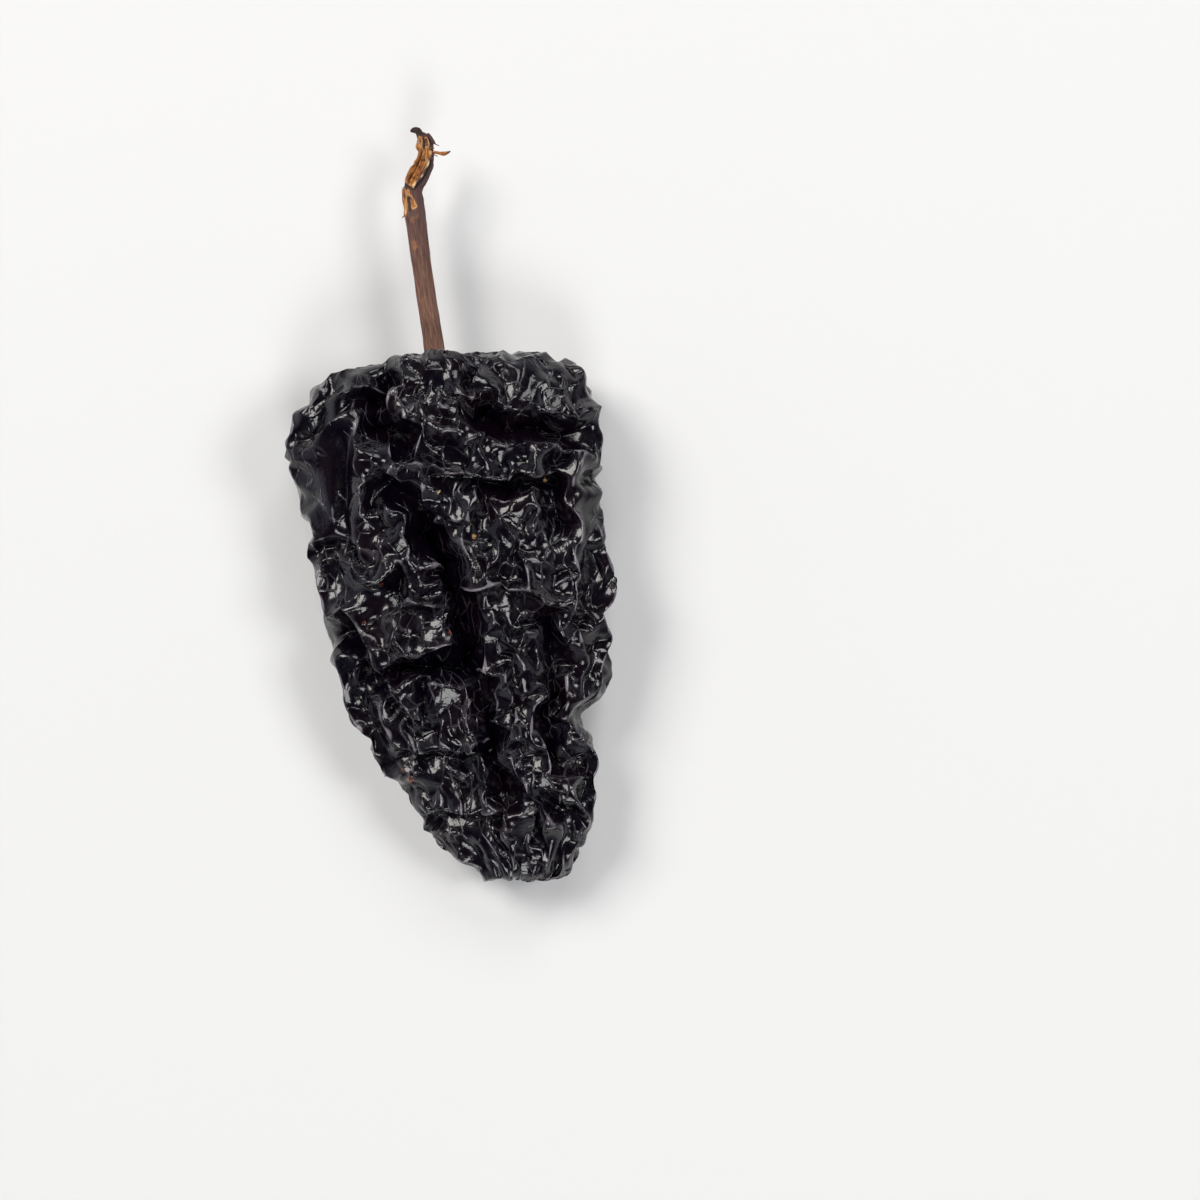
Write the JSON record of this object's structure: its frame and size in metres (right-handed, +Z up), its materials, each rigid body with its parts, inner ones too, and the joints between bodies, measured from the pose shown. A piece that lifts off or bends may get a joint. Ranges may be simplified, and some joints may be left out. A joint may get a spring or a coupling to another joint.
{
  "type": "ancho chili",
  "caption": "Dried ancho chili lying on its flatter side: a broad, shrivelled near-black pod with deep folds and a blunt tip, and a brown stem with a torn end.",
  "frame": {"origin": "middle of the flat spot on the underside that the pod rests on", "axes": "+Y runs up the pod towards the stem, +Z is up from the table, +X is to the right seen from above with the stem pointing away"},
  "size_m": [0.0777, 0.1819, 0.033],
  "materials": {
    "pod_skin": "glossy near-black dried skin with a purple sheen",
    "stem_wood": "dry matte brown stem, ochre where it is torn"
  },
  "bodies": {
    "root": {"pod": "pod_skin", "stem_with_calyx": "stem_wood"}
  },
  "joints": []
}
